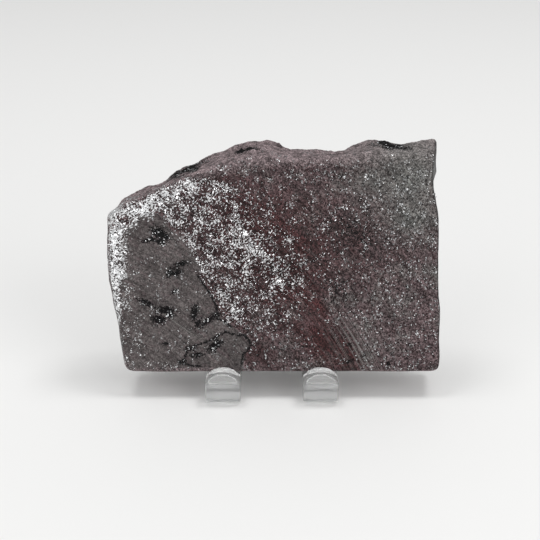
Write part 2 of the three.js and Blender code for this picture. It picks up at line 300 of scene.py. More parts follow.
class Sketch:
    """A material's nodes, added one call at a time."""

    def __init__(self, name: str) -> None:
        """Starts a material with nothing but its shader.

        Args:
            name: The material's name.
        """
        self.material = bpy.data.materials.new(name)
        self.material.use_nodes = True
        self.tree = self.material.node_tree
        self.tree.nodes.clear()
        self.shader = self.node("ShaderNodeBsdfPrincipled")
        output = self.node("ShaderNodeOutputMaterial")
        self.tree.links.new(self.shader.outputs["BSDF"], output.inputs["Surface"])

    def node(self, kind: str, **settings: object) -> bpy.types.Node:
        """Adds a node.

        Args:
            kind: The node's type name.
            **settings: Properties of the node to set.

        Returns:
            The new node.
        """
        made = self.tree.nodes.new(kind)
        for name, value in settings.items():
            setattr(made, name, value)
        return made

    def feed(self, socket: Socket, value: object) -> None:
        """Links a socket to another's output, or sets it to a plain value.

        Args:
            socket: The input socket.
            value: An output socket, a number or a colour.
        """
        if isinstance(value, bpy.types.NodeSocket):
            self.tree.links.new(value, socket)
        elif isinstance(value, tuple) and socket.type == "RGBA":
            socket.default_value = (*value, 1.0)
        else:
            socket.default_value = value

    def surface(self, **values: object) -> None:
        """Sets the shader's own sockets, by name with _ for a space.

        Args:
            **values: Numbers, colours or output sockets.
        """
        for name, value in values.items():
            self.feed(self.shader.inputs[name.replace("_", " ")], value)

    def math(self, operation: str, a: Value, b: Value = 0.0, clamp: bool = False) -> Socket:
        """Adds a step of arithmetic.

        Args:
            operation: The Math node's operation.
            a: First value or socket.
            b: Second value or socket.
            clamp: Whether the result is held between 0 and 1.

        Returns:
            The result's socket.
        """
        made = self.node("ShaderNodeMath", operation=operation, use_clamp=clamp)
        self.feed(made.inputs[0], a)
        self.feed(made.inputs[1], b)
        return made.outputs[0]

    def vector(self, operation: str, a: object, b: object) -> Socket:
        """Adds a step of vector arithmetic.

        Args:
            operation: The Vector Math node's operation.
            a: First vector or socket.
            b: Second vector or socket, or the factor of SCALE.

        Returns:
            The result's socket.
        """
        made = self.node("ShaderNodeVectorMath", operation=operation)
        self.feed(made.inputs[0], a)
        self.feed(made.inputs["Scale" if operation == "SCALE" else 1], b)
        return made.outputs[0]

    def product(self, *values: Value) -> Socket:
        """Multiplies two or more values.

        Args:
            *values: Numbers or output sockets.

        Returns:
            The product's socket.
        """
        result = values[0]
        for value in values[1:]:
            result = self.math("MULTIPLY", result, value)
        return result

    def plus(self, value: Value, other: Value, share: float) -> Socket:
        """Returns a value with a share of another added to it."""
        return self.math("ADD", value, self.math("MULTIPLY", other, share))

    def ease(self, value: Socket, ramp: Ramp, step: Step = Step.SMOOTH) -> Socket:
        """Adds a run along another value.

        Args:
            value: The value to follow.
            ramp: The run's limits and its ends.
            step: Whether the run is smooth or straight.

        Returns:
            The result's socket.
        """
        made = self.node("ShaderNodeMapRange", interpolation_type=str(step))
        for socket, given in zip(made.inputs, (value, ramp.low, ramp.high, ramp.start, ramp.end)):
            self.feed(socket, given)
        return made.outputs[0]

    def blend(self, share: Value, a: object, b: object) -> Socket:
        """Adds a mix of two colours.

        Args:
            share: How much of the second colour shows.
            a: First colour or socket.
            b: Second colour or socket.

        Returns:
            The mixed colour's socket.
        """
        # The node's colour sockets come after those for numbers and vectors.
        made = self.node("ShaderNodeMix", data_type="RGBA")
        self.feed(made.inputs[0], share)
        self.feed(made.inputs[6], a)
        self.feed(made.inputs[7], b)
        return made.outputs[2]

    def noise(self, place: Socket, cloud: Cloud, output: str = "Fac") -> Socket:
        """Adds cloudy noise.

        Args:
            place: Where it is read, in mm.
            cloud: The noise's size and layers.
            output: The output's name, Fac for one value or Color for three.

        Returns:
            The noise's socket.
        """
        made = self.node("ShaderNodeTexNoise")
        self.feed(made.inputs["Vector"], place)
        self.feed(made.inputs["Scale"], cloud.per_mm)
        self.feed(made.inputs["Detail"], cloud.layers)
        self.feed(made.inputs["Roughness"], cloud.rough)
        return made.outputs[output]

    def swing(self, place: Socket, cloud: Cloud) -> Socket:
        """Returns cloudy noise that swings about 0."""
        return self.math("SUBTRACT", self.noise(place, cloud), NOISE_MIDDLE)

    def grains(self, place: Socket, per_mm: float) -> Grains:
        """Adds a packing of grains.

        Args:
            place: Where it is read, in mm.
            per_mm: How many grains there are in a millimetre.

        Returns:
            The values of the grains.
        """
        made = self.node("ShaderNodeTexVoronoi")
        self.feed(made.inputs["Vector"], place)
        self.feed(made.inputs["Scale"], per_mm)
        parts = self.node("ShaderNodeSeparateColor")
        self.feed(parts.inputs[0], made.outputs["Color"])
        return Grains(*parts.outputs, made.outputs["Color"])

    def streaks(self, place: Socket, turn_deg: float, stretch: float) -> Socket:
        """Turns a place in the plane of the face and stretches it, for streaks.

        Args:
            place: The place in mm as u, w, v.
            turn_deg: The streaks' direction, up from u.
            stretch: How many times longer than wide the streaks are.

        Returns:
            The turned and stretched place.
        """
        made = self.node("ShaderNodeMapping")
        self.feed(made.inputs["Vector"], place)
        made.inputs["Rotation"].default_value = (0.0, math.radians(turn_deg), 0.0)
        return self.vector("MULTIPLY", made.outputs[0], (1.0 / stretch, 1.0, 1.0))

    def mask(self, name: str) -> Socket:
        """Returns the socket of a value that the mesh carries."""
        return self.node("ShaderNodeAttribute", attribute_name=str(name)).outputs["Fac"]

    def slab_place(self, place: SlabPlace) -> Socket:
        """Reads Object coordinates along the slab's own axes.

        Args:
            place: Where the slab stands.

        Returns:
            The place in mm as u, w, v.
        """
        turn = math.radians(place.lean_deg)
        shift = Matrix.Rotation(turn, 3, "X") @ -Vector(place.foot_mm)
        made = self.node("ShaderNodeMapping")
        self.feed(made.inputs["Vector"], self.node("ShaderNodeTexCoord").outputs["Object"])
        made.inputs["Scale"].default_value = (1.0 / MM,) * 3
        made.inputs["Rotation"].default_value = (turn, 0.0, 0.0)
        made.inputs["Location"].default_value = shift
        return made.outputs[0]


@dataclass(frozen=True)
class HematiteFinish:
    """Grey to dark red iron ore with mirror-bright flecks, black vugs and dusty broken edges.

    Clouds and grains are counted in a millimetre, and ramps turn them into shares and tones.
    """

    mauve: Colour = (0.089, 0.065, 0.068)
    brown: Colour = (0.024, 0.009, 0.009)
    grey: Colour = (0.077, 0.067, 0.066)
    green: Colour = (0.117, 0.121, 0.115)
    rust: Colour = (0.055, 0.020, 0.021)
    dust: Colour = (0.172, 0.135, 0.139)
    ash: Colour = (0.160, 0.159, 0.151)
    black: Colour = (0.003, 0.0026, 0.003)
    silver: Colour = (0.96, 0.97, 0.98)
    scored: Colour = (0.27, 0.26, 0.25)

    bending: Cloud = Cloud(2.2, 2.0)
    bend_mm: float = 0.6
    tearing: Cloud = Cloud(2.2, 4.0, 0.7)
    clumping: Cloud = Cloud(0.34, 3.0, 0.6)
    grains_per_mm: float = 3.4
    facets_per_mm: float = 1.8
    facet_lean: Ramp = Ramp(start=0.10, end=0.75)
    fine_relief: Cloud = Cloud(3.2, 4.0, 0.7)
    relief_strength: float = 0.45
    relief_mm: float = 0.12
    stone_roughness: float = 0.50
    dust_roughness: float = 0.85
    fleck_roughness: float = 0.24
    fleck_metal: float = 0.95
    stone_gloss: float = 0.14

    stain: Cloud = Cloud(0.13, 5.0, 0.62)
    stain_share: Ramp = Ramp(0.46, 0.70)
    stain_green: float = 0.75
    mottle: Cloud = Cloud(1.1, 4.0, 0.7)
    mottle_tone: Ramp = Ramp(0.28, 0.72, 0.60, 1.45)
    streak: Cloud = Cloud(0.9, 4.0, 0.65)
    streak_deg: float = -42.0
    streak_stretch: float = 5.0
    streak_in_patch: float = 0.8
    haze: Cloud = Cloud(0.22, 3.0, 0.6)
    haze_stretch: float = 1.8
    haze_tone: Ramp = Ramp(0.32, 0.68, 0.74, 1.26)
    rust_streak: Ramp = Ramp(0.66, 0.40, 0.55, 1.2)
    green_warmth: Ramp = Ramp(start=1.0, end=0.3)
    brown_patch: Ramp = Ramp(0.98, 0.66, 0.0, 0.85)
    brown_gap: Ramp = Ramp(0.42, 0.08, 0.0, 0.65)
    grey_torn: float = 0.7
    grey_edge: Ramp = Ramp(0.35, 0.65)
    grey_patch: Ramp = Ramp(0.66, 0.92)
    dark_grain: Ramp = Ramp(start=0.18, end=0.44)
    light_grain: Ramp = Ramp(start=1.98, end=1.56)

    saw_middle: Place = (-75.0, 0.0, -47.0)
    saw_arcs: Cloud = Cloud(0.9, 4.0, 0.75)
    saw_tone: Ramp = Ramp(0.3, 0.7, 0.78, 1.22)
    saw_line: Ramp = Ramp(0.024, 0.006)
    scratch_line: Ramp = Ramp(0.16, 0.04, 0.0, 0.5)

    dust_torn: float = 2.2
    dust_edge: Ramp = Ramp(0.25, 0.85)
    dust_least: Ramp = Ramp(0.0, 0.3)
    dust_lumps: Cloud = Cloud(0.55, 4.0, 0.7)
    dust_lump_tone: Ramp = Ramp(0.32, 0.68, 0.52, 1.42)
    dust_crumbs: Cloud = Cloud(2.2, 4.0, 0.8)
    dust_crumb_tone: Ramp = Ramp(0.32, 0.68, 0.50, 1.48)
    dust_grain: Span = (0.45, 1.1)
    dust_green: float = 0.9

    loose_grain: float = 1.1
    vug_torn: float = 3.4
    vug_edge: Ramp = Ramp(-0.16, 0.06)
    pores: Cloud = Cloud(1.9, 2.0, 0.6)
    pore_edge: Ramp = Ramp(0.31, 0.27)
    crack_torn: float = 1.8
    crack_loose: float = 0.38
    crack_edge: Ramp = Ramp(0.38, 0.20)
    glint_share: float = 0.06

    grit: Cloud = Cloud(2.5, 3.0, 0.65)
    grit_deg: float = 48.0
    grit_stretch: float = 1.6
    fleck_level: float = 0.53
    fleck_thinning: float = 0.062
    fleck_clump: float = 0.56
    fleck_edge: Ramp = Ramp(-0.003, 0.006)
    fleck_chips: float = 0.12
    sand_level: float = 0.942
    sand_bare: float = 0.06
    sand_clump: float = 0.70
    bare_dust: float = 0.6
    bare_rust: float = 1.2
    mirror_tone: Ramp = Ramp(0.2, 1.2, 0.60, 1.0)
    sand_tone: Ramp = Ramp(start=0.33, end=1.0)

    def build(self, place: SlabPlace, seams: int) -> bpy.types.Material:
        """Makes the material.

        Args:
            place: Where the slab stands.
            seams: How many cracks the mesh carries.

        Returns:
            The finished material.
        """
        draw = Sketch("specular_hematite")
        at = draw.slab_place(place)
        bend = draw.vector("SUBTRACT", draw.noise(at, self.bending, "Color"), (NOISE_MIDDLE,) * 3)
        bent = draw.vector("ADD", at, draw.vector("SCALE", bend, self.bend_mm))
        torn = draw.swing(at, self.tearing)
        grain = draw.grains(bent, self.grains_per_mm)
        facet = draw.grains(bent, self.facets_per_mm)
        dust = draw.mask(Mask.DUST)
        dusty = draw.ease(draw.plus(dust, torn, self.dust_torn), self.dust_edge)
        dusty = draw.product(dusty, draw.ease(dust, self.dust_least))

        hole, vug = self.holes(draw, at, torn, grain, seams)
        broad, fleck = self.flecks(draw, at, bent, dusty, grain)
        glint = draw.math("LESS_THAN", grain.shine, self.glint_share)
        glint = draw.product(glint, draw.mask(Mask.GLINT), vug)
        fleck = draw.product(fleck, draw.math("SUBTRACT", 1.0, hole))
        fleck = draw.math("MAXIMUM", fleck, glint)

        body = self.ground(draw, at, torn, grain.tone)
        body = draw.blend(dusty, body, self.dusting(draw, at, grain.tone))
        body = draw.blend(hole, body, self.black)
        tone = draw.ease(draw.math("ADD", grain.shine, facet.shine), self.mirror_tone)
        tone = draw.product(tone, draw.ease(draw.math("ADD", broad, glint), self.sand_tone))
        colour = draw.blend(fleck, body, draw.vector("SCALE", self.silver, tone))
        rough = draw.ease(dusty, Ramp(start=self.stone_roughness, end=self.dust_roughness))
        rough = draw.ease(fleck, Ramp(start=rough, end=self.fleck_roughness))
        metal = draw.product(fleck, self.fleck_metal)
        normal = self.relief(draw, at, fleck, draw.blend(broad, grain.lean, facet.lean))
        draw.surface(Base_Color=colour, Roughness=rough, Metallic=metal, Normal=normal)
        draw.surface(Specular_IOR_Level=self.stone_gloss)
        return draw.material

    def relief(self, draw: Sketch, at: Socket, fleck: Socket, tilt: Socket) -> Socket:
        """Adds the lean of each fleck and the fine unevenness of the stone.

        Args:
            draw: The material's nodes.
            at: The place in mm as u, w, v.
            fleck: Share of the flecks.
            tilt: Each grain's own direction.

        Returns:
            The surface's normal.
        """
        lean = draw.vector("SUBTRACT", tilt, (NOISE_MIDDLE,) * 3)
        lean = draw.vector("SCALE", lean, draw.ease(fleck, self.facet_lean))
        normal = draw.node("ShaderNodeNewGeometry").outputs["Normal"]
        normal = draw.vector("NORMALIZE", draw.vector("ADD", normal, lean), (0.0,) * 3)
        bump = draw.node("ShaderNodeBump")
        draw.feed(bump.inputs["Strength"], self.relief_strength)
        draw.feed(bump.inputs["Distance"], self.relief_mm * MM)
        draw.feed(bump.inputs["Height"], draw.noise(at, self.fine_relief))
        draw.feed(bump.inputs["Normal"], normal)
        return bump.outputs[0]

    def ground(self, draw: Sketch, at: Socket, torn: Socket, speck: Socket) -> Socket:
        """Adds the stone between the flecks: mauve, brown, red, green and fine grey, scored by the saw.

        Args:
            draw: The material's nodes.
            at: The place in mm as u, w, v.
            torn: Ragged noise about 0.
            speck: A value of its own for each grain.

        Returns:
            The ground's colour.
        """
        stain = draw.ease(draw.noise(at, self.stain), self.stain_share)
        mottle = draw.noise(at, self.mottle)
        streak = draw.noise(draw.streaks(at, self.streak_deg, self.streak_stretch), self.streak)
        haze = draw.noise(draw.streaks(at, self.streak_deg, self.haze_stretch), self.haze)
        patchy = draw.plus(mottle, streak, self.streak_in_patch)
        greenish = draw.mask(Mask.GREEN)
        warm = draw.ease(greenish, self.green_warmth)

        green = draw.math("MAXIMUM", draw.product(stain, self.stain_green), greenish)
        body = draw.blend(green, self.mauve, self.green)
        streaky = draw.ease(streak, self.rust_streak)
        rusty = draw.math("MULTIPLY", draw.mask(Mask.RUST), streaky, clamp=True)
        body = draw.blend(rusty, body, self.rust)
        for brown in (draw.ease(patchy, self.brown_patch), draw.ease(speck, self.brown_gap)):
            body = draw.blend(draw.product(brown, warm), body, self.brown)
        grey = draw.ease(draw.plus(draw.mask(Mask.GREY), torn, self.grey_torn), self.grey_edge)
        ashen = draw.blend(draw.ease(patchy, self.grey_patch), self.mauve, self.grey)
        body = draw.blend(grey, body, ashen)

        darkest = draw.ease(grey, self.dark_grain)
        lightest = draw.ease(grey, self.light_grain)
        speckle = draw.ease(speck, Ramp(start=darkest, end=lightest), Step.STRAIGHT)
        saw = self.saw_marks(draw, at)
        # The tone carries painted shade on the right side face, besides the stone's own darker tone.
        tone = draw.product(
            draw.ease(mottle, self.mottle_tone), draw.ease(haze, self.haze_tone), speckle,
            draw.mask(Mask.SHADE), draw.ease(saw, self.saw_tone),
        )
        body = draw.vector("SCALE", body, tone)
        scored = draw.math("ABSOLUTE", draw.math("SUBTRACT", saw, NOISE_MIDDLE))
        scored = draw.product(draw.ease(scored, self.saw_line), draw.mask(Mask.SAW))
        scratch = draw.ease(draw.math("ABSOLUTE", draw.mask(Mask.SCRATCH)), self.scratch_line)
        return draw.blend(draw.math("MAXIMUM", scored, scratch), body, self.scored)

    def dusting(self, draw: Sketch, at: Socket, speck: Socket) -> Socket:
        """Adds the dull mauve of the broken edges, ashen where the stone is greenish.

        Args:
            draw: The material's nodes.
            at: The place in mm as u, w, v.
            speck: A value of its own for each grain.

        Returns:
            The broken edges' colour.
        """
        lumps = draw.ease(draw.noise(at, self.dust_lumps), self.dust_lump_tone)
        crumbs = draw.ease(draw.noise(at, self.dust_crumbs), self.dust_crumb_tone)
        darkest, gain = self.dust_grain
        crumbs = draw.product(crumbs, draw.plus(darkest, speck, gain))
        # The tone carries painted shade on the right side face, besides the stone's own darker tone.
        tone = draw.product(lumps, crumbs, draw.mask(Mask.SHADE))
        greenish = draw.product(draw.mask(Mask.GREEN), self.dust_green)
        return draw.vector("SCALE", draw.blend(greenish, self.dust, self.ash), tone)

    def holes(
        self, draw: Sketch, at: Socket, torn: Socket, grain: Grains, seams: int
    ) -> tuple[Socket, Socket]:
        """Adds the black of vugs, pores and cracks, with single grains loose at their edges.

        Args:
            draw: The material's nodes.
            at: The place in mm as u, w, v.
            torn: Ragged noise about 0.
            grain: The values of the grains.
            seams: How many cracks the mesh carries.

        Returns:
            The share of every hole, and of the vugs alone.
        """
        loose = draw.product(draw.math("SUBTRACT", NOISE_MIDDLE, grain.pick), self.loose_grain)
        vug = draw.plus(draw.mask(Mask.VUG), torn, self.vug_torn)
        vug = draw.ease(draw.math("ADD", vug, loose), self.vug_edge)
        hole = draw.math("MAXIMUM", vug, draw.ease(draw.noise(at, self.pores), self.pore_edge))
        for index in range(seams):
            away = draw.math("ABSOLUTE", draw.mask(seam_name(index)))
            away = draw.plus(away, torn, -self.crack_torn)
            away = draw.plus(away, loose, -self.crack_loose)
            hole = draw.math("MAXIMUM", hole, draw.ease(away, self.crack_edge))
        return hole, vug

    def flecks(
        self, draw: Sketch, at: Socket, bent: Socket, dusty: Socket, grain: Grains
    ) -> tuple[Socket, Socket]:
        """Adds the bright flecks and the fine, duller sand between them.

        Args:
            draw: The material's nodes.
            at: The place in mm as u, w, v.
            bent: The same place, bent to and fro.
            dusty: Share of the dull broken edge.
            grain: The values of the grains.

        Returns:
            The share of the bright flecks, and of all.
        """
        clump = draw.swing(at, self.clumping)
        level = draw.product(draw.mask(Mask.SPARKLE), self.fleck_thinning)
        level = draw.plus(level, clump, -self.fleck_clump)
        grit = draw.noise(draw.streaks(bent, self.grit_deg, self.grit_stretch), self.grit)
        broad = draw.math("SUBTRACT", grit, draw.math("ADD", level, self.fleck_level))
        whole = draw.math("GREATER_THAN", grain.tone, self.fleck_chips)
        broad = draw.product(draw.ease(broad, self.fleck_edge), whole)
        bare = draw.plus(draw.mask(Mask.GREY), dusty, self.bare_dust)
        bare = draw.plus(bare, draw.mask(Mask.RUST), self.bare_rust)
        sand_level = draw.plus(self.sand_level, bare, self.sand_bare)
        sand_level = draw.plus(sand_level, clump, -self.sand_clump)
        sand = draw.math("GREATER_THAN", grain.pick, sand_level)
        return broad, draw.math("MAXIMUM", sand, broad)

    def saw_marks(self, draw: Sketch, at: Socket) -> Socket:
        """Adds the arcs that a round saw left, around a point far below the slab.

        Args:
            draw: The material's nodes.
            at: The place in mm as u, w, v.

        Returns:
            A value about the noise's middle that changes from arc to arc.
        """
        flat = draw.vector("MULTIPLY", draw.vector("SUBTRACT", at, self.saw_middle), (1.0, 0.0, 1.0))
        radius = draw.node("ShaderNodeVectorMath", operation="LENGTH")
        draw.feed(radius.inputs[0], flat)
        made = draw.node("ShaderNodeTexNoise", noise_dimensions="1D")
        draw.feed(made.inputs["W"], radius.outputs["Value"])
        draw.feed(made.inputs["Scale"], self.saw_arcs.per_mm)
        draw.feed(made.inputs["Detail"], self.saw_arcs.layers)
        draw.feed(made.inputs["Roughness"], self.saw_arcs.rough)
        return made.outputs["Fac"]


@dataclass(frozen=True)
class FlakeFinish:
    """Mirror-like faces of single flakes, some brighter than others."""

    dull: Colour = (0.42, 0.42, 0.44)
    bright: Colour = (0.96, 0.97, 0.98)
    roughness: float = 0.24

    def build(self) -> bpy.types.Material:
        """Makes the material.

        Returns:
            The finished material.
        """
        draw = Sketch("hematite_flake")
        shine = draw.node("ShaderNodeAttribute", attribute_name="shine").outputs["Fac"]
        draw.surface(Base_Color=draw.blend(shine, self.dull, self.bright))
        draw.surface(Metallic=1.0, Roughness=self.roughness)
        return draw.material


@dataclass(frozen=True)
class AcrylicFinish:
    """Clear polished acrylic, a little hazy from wear."""

    tint: Colour = (0.975, 0.98, 0.978)
    roughness: float = 0.10
    refraction: float = 1.49
    clearness: float = 0.84

    def build(self) -> bpy.types.Material:
        """Makes the material.

        Returns:
            The finished material.
        """
        draw = Sketch("clear_acrylic")
        draw.surface(Base_Color=self.tint, Roughness=self.roughness, IOR=self.refraction)
        draw.surface(Transmission_Weight=self.clearness)
        return draw.material


def copy_of_node(node: bpy.types.Object, name: str) -> bpy.types.Object:
    """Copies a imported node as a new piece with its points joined.

    Args:
        node: The node to copy.
        name: The new piece's name.

    Returns:
        The new piece, selected and active.
    """
    bpy.ops.object.select_all(action="DESELECT")
    piece = bpy.data.objects.new(name, node.data.copy())
    piece.data.name = name
    piece.data.materials.clear()
    bpy.context.scene.collection.objects.link(piece)
    piece.select_set(True)
    bpy.context.view_layer.objects.active = piece
    bpy.ops.object.mode_set(mode="EDIT")
    bpy.ops.mesh.select_all(action="SELECT")
    bpy.ops.mesh.remove_doubles(threshold=JOIN_MM * MM)
    bpy.ops.object.mode_set(mode="OBJECT")
    return piece


def apply_modifier(piece: bpy.types.Object, kind: str, **settings: object) -> None:
    """Adds a modifier to the active piece and applies it.

    Args:
        piece: The active piece.
        kind: The modifier's type name.
        **settings: Properties of the modifier to set.
    """
    made = piece.modifiers.new(kind.title(), kind)
    for name, value in settings.items():
        setattr(made, name, value)
    bpy.ops.object.modifier_apply(modifier=made.name)


def mesh_points(mesh: bpy.types.Mesh) -> tuple[Array, Array]:
    """Reads a mesh's points and their normals.

    Args:
        mesh: The mesh to read.

    Returns:
        The places in mm and the unit normals.
    """
    places = np.empty(len(mesh.vertices) * 3, np.float32)
    mesh.vertices.foreach_get("co", places)
    normals = np.empty(len(mesh.vertices) * 3, np.float32)
    mesh.vertex_normals.foreach_get("vector", normals)
    return places.reshape(-1, 3) / MM, normals.reshape(-1, 3)


@dataclass(frozen=True)
class FleckLayout:
    """How thickly the bright flecks lie, as shares of the face, with places and widths in mm.

    A band of them starts at the upper left and runs down to the right. A pair of numbers, other
    than the band's start, is where a share begins and where it is whole.
    """

    start: Span = (-24.0, 50.0)
    band: float = 0.225
    band_width: float = 12.0
    band_end: Span = (50.0, 34.0)
    band_thins: Span = (18.0, 36.0)
    band_loss: float = 0.4
    halo: float = 0.070
    halo_width: float = 24.0
    halo_end: Span = (56.0, 32.0)
    clusters: tuple[Patch, ...] = (
        Patch(-18.3, 51.0, 4.0, 3.0, 0, 0.16), Patch(-8.4, 37.2, 4.5, 3.0, -40, 0.22),
        Patch(-4.6, 33.2, 3.5, 2.5, -40, 0.20), Patch(-12.1, 18.0, 4.5, 2.8, -30, 0.24),
        Patch(2.3, 13.2, 6.0, 3.0, -35, 0.17), Patch(-20.6, 32.5, 2.4, 1.8, 0, 0.20),
        Patch(3.1, 26.0, 4.0, 3.4, -40, 0.15),
    )
    rest: float = 0.026
    rest_gain: float = 0.050
    rest_rise: Span = (22.0, 40.0)
    plain: tuple[Patch, ...] = (Patch(-3.0, 5.0, 6.5, 5.5), Patch(14.0, 9.0, 8.0, 5.0, -45))
    plain_loss: float = 0.85
    grey_loss: float = 0.93
    margin: float = 0.16
    margin_u: Span = (-33.0, -41.0)
    margin_v: Span = (43.0, 36.0)
    foot: float = 0.05
    foot_v: Span = (3.4, 1.6)
    foot_flecks: Patch = Patch(-30.0, 2.7, 7.0, 0.8, 0, 0.20)
    shoulder: Line = (
        (-43.3, 29.0), (-43.3, 38.6), (-40.5, 43.5), (-33.5, 46.5), (-27.5, 50.0), (-22.2, 53.2),
        (-16.9, 55.3),
    )
    upper: float = 0.58
    upper_width: Span = (3.4, 0.2)
    upper_u: Span = (-12.0, -26.0)
    upper_spread: float = 0.09
    spread_from: float = -20.0
    spread_reach: float = 24.0
    # The rim shares lay silver flecks almost all over the rounded left edge: its own flecks, thickened
    # as a painted highlight where the left light glints.
    rim: float = 0.25
    rim_gain: float = 0.55
    rim_v: Span = (8.0, 22.0)

    def cover(self, u: Array, v: Array, grey: Array, left: Array) -> Array:
        """Works out how thickly the bright flecks lie.

        Args:
            u: Places to the right, in mm.
            v: Places up the face, in mm.
            grey: Share of the fine grey stone.
            left: Share of the rounded left edge, where the flecks are thickened as a painted highlight.

        Returns:
            The flecks' share, from 0 to about 1.
        """
        right, up = u - self.start[0], v - self.start[1]
        along = (right - up) / math.sqrt(2.0)
        across = (right + up) / math.sqrt(2.0)
        fall = np.where(across > 0.0, np.exp(-(across / self.band_width) ** 2), 1.0)
        thinned = 1.0 - self.band_loss * smooth(*self.band_thins, along)
        band = self.band * fall * smooth(*self.band_end, along) * thinned
        band += self.halo * np.exp(-(across / self.halo_width) ** 2) * smooth(*self.halo_end, along)
        band += glow_of(self.clusters, u, v)
        rest = self.rest + self.rest_gain * smooth(*self.rest_rise, v)
        plain = np.clip(glow_of(self.plain, u, v), 0.0, 1.0)
        stone = np.maximum(band, rest) * (1.0 - self.grey_loss * grey) * (1.0 - self.plain_loss * plain)
        margin = self.margin * smooth(*self.margin_u, u) * smooth(*self.margin_v, v)
        foot = self.foot * smooth(*self.foot_v, v) * (1.0 - plain)
        foot += self.foot_flecks.glow(u, v)
        spread = self.upper_spread * np.clip(self.spread_from - u, 0.0, self.spread_reach)
        shoulder = line_distance(self.shoulder, u, v) - spread
        upper = self.upper * smooth(*self.upper_width, shoulder) * smooth(*self.upper_u, u)
        # The rounded left rim: its own flecks, thickened into a painted highlight.
        rim = left * (self.rim + self.rim_gain * smooth(*self.rim_v, v))
        return np.maximum.reduce([stone, margin, foot, upper, rim])


